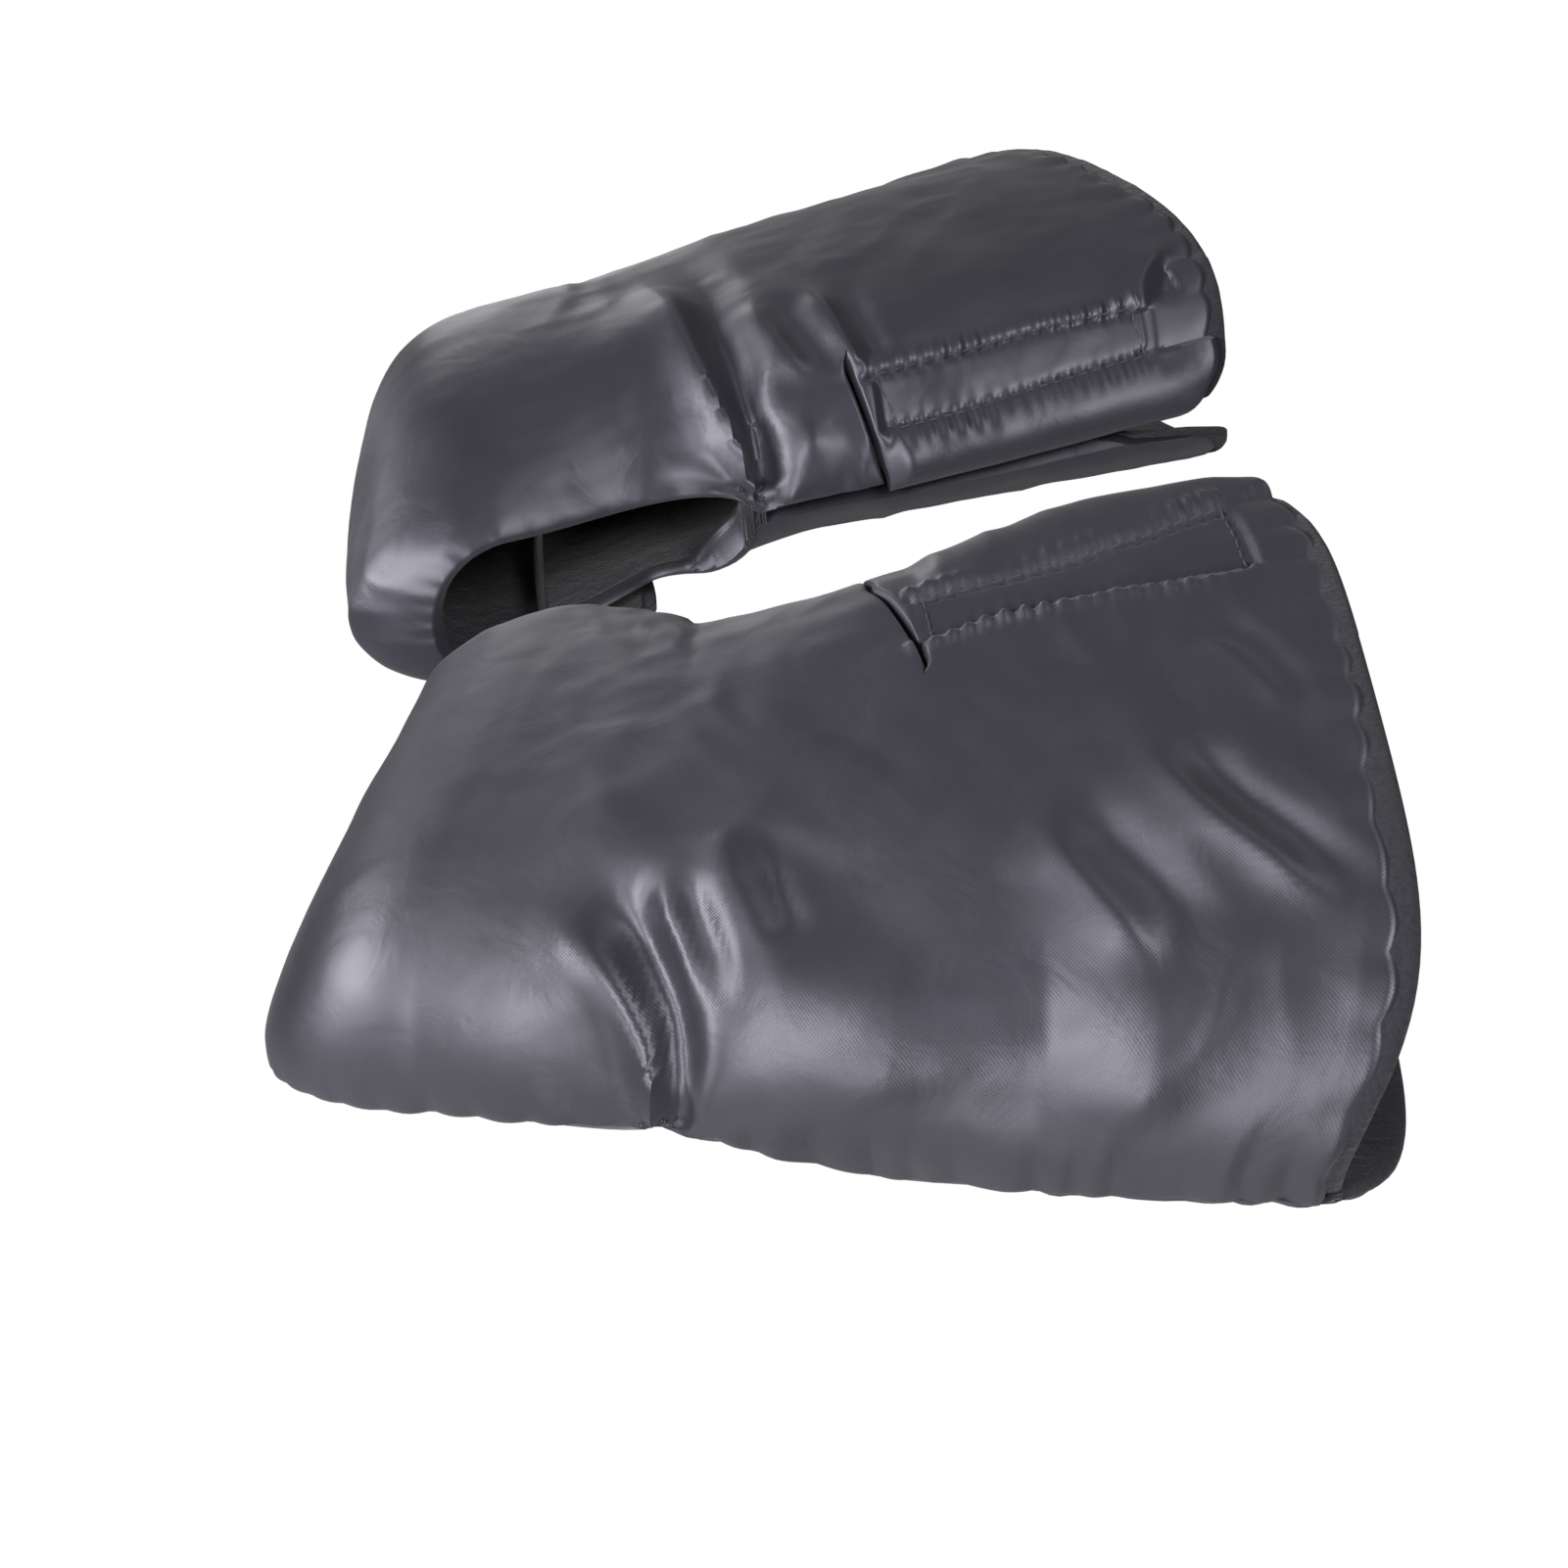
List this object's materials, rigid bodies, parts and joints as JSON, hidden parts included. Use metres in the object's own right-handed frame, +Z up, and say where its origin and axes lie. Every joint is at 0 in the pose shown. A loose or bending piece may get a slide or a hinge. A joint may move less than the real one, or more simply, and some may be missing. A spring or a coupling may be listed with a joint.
{
  "type": "stroller hand muff",
  "caption": "Pair of padded satin hand muffs that wrap over a handlebar, each with an open cuff, a side closure flap and a flap that laps under the bar.",
  "frame": {"origin": "on the handlebar's centre line, midway between the two muffs", "axes": "+X from the bar towards the user and the open cuffs, +Y along the bar from the left-hand muff to the right-hand one, +Z up"},
  "size_m": [0.2902, 0.4827, 0.115],
  "materials": {
    "satin_nylon": "dark violet-grey satin nylon with a soft sheen",
    "wadding": "white polyester wadding, hidden",
    "fleece": "dark short-pile fleece lining",
    "hook_and_loop": "black hook-and-loop tape",
    "thread": "dark grey polyester thread"
  },
  "bodies": {
    "muffs": {"left_top_shell": "satin_nylon", "left_top_wadding": "wadding", "left_top_lining": "fleece", "left_under_shell": "satin_nylon", "left_under_wadding": "wadding", "left_under_lining": "fleece", "left_closure_loop_tape": "hook_and_loop", "left_bar_loop_tape": "hook_and_loop", "left_inner_tack": "thread", "left_outer_tack": "thread", "right_top_shell": "satin_nylon", "right_top_wadding": "wadding", "right_top_lining": "fleece", "right_under_shell": "satin_nylon", "right_under_wadding": "wadding", "right_under_lining": "fleece", "right_closure_loop_tape": "hook_and_loop", "right_bar_loop_tape": "hook_and_loop", "right_inner_tack": "thread", "right_outer_tack": "thread"},
    "left_closure_flap": {"left_closure_flap_shell": "satin_nylon", "left_closure_flap_wadding": "wadding", "left_closure_flap_lining": "fleece", "left_closure_hook_tape": "hook_and_loop"},
    "left_bar_flap": {"left_bar_flap_shell": "satin_nylon", "left_bar_flap_wadding": "wadding", "left_bar_flap_lining": "fleece", "left_bar_hook_tape": "hook_and_loop"},
    "right_closure_flap": {"right_closure_flap_shell": "satin_nylon", "right_closure_flap_wadding": "wadding", "right_closure_flap_lining": "fleece", "right_closure_hook_tape": "hook_and_loop"},
    "right_bar_flap": {"right_bar_flap_shell": "satin_nylon", "right_bar_flap_wadding": "wadding", "right_bar_flap_lining": "fleece", "right_bar_hook_tape": "hook_and_loop"}
  },
  "joints": [
    {"name": "left_closure_flap_opens", "type": "hinge", "parent": "muffs", "child": "left_closure_flap", "pos_m": [0.11426, -0.12232, 0.05615], "axis": [0.9573, -0.2161, 0.1921], "range_deg": [0, 75]},
    {"name": "left_bar_flap_opens", "type": "hinge", "parent": "muffs", "child": "left_bar_flap", "pos_m": [-0.0569, -0.06498, -0.03588], "axis": [0.336, 0.9296, 0.1518], "range_deg": [0, 90]},
    {"name": "right_closure_flap_opens", "type": "hinge", "parent": "muffs", "child": "right_closure_flap", "pos_m": [0.13537, 0.06694, 0.05641], "axis": [-0.9826, -0.1216, -0.14], "range_deg": [0, 75]},
    {"name": "right_bar_flap_opens", "type": "hinge", "parent": "muffs", "child": "right_bar_flap", "pos_m": [-0.05671, 0.06973, -0.03914], "axis": [0.1174, 0.9908, -0.0672], "range_deg": [0, 90]}
  ]
}
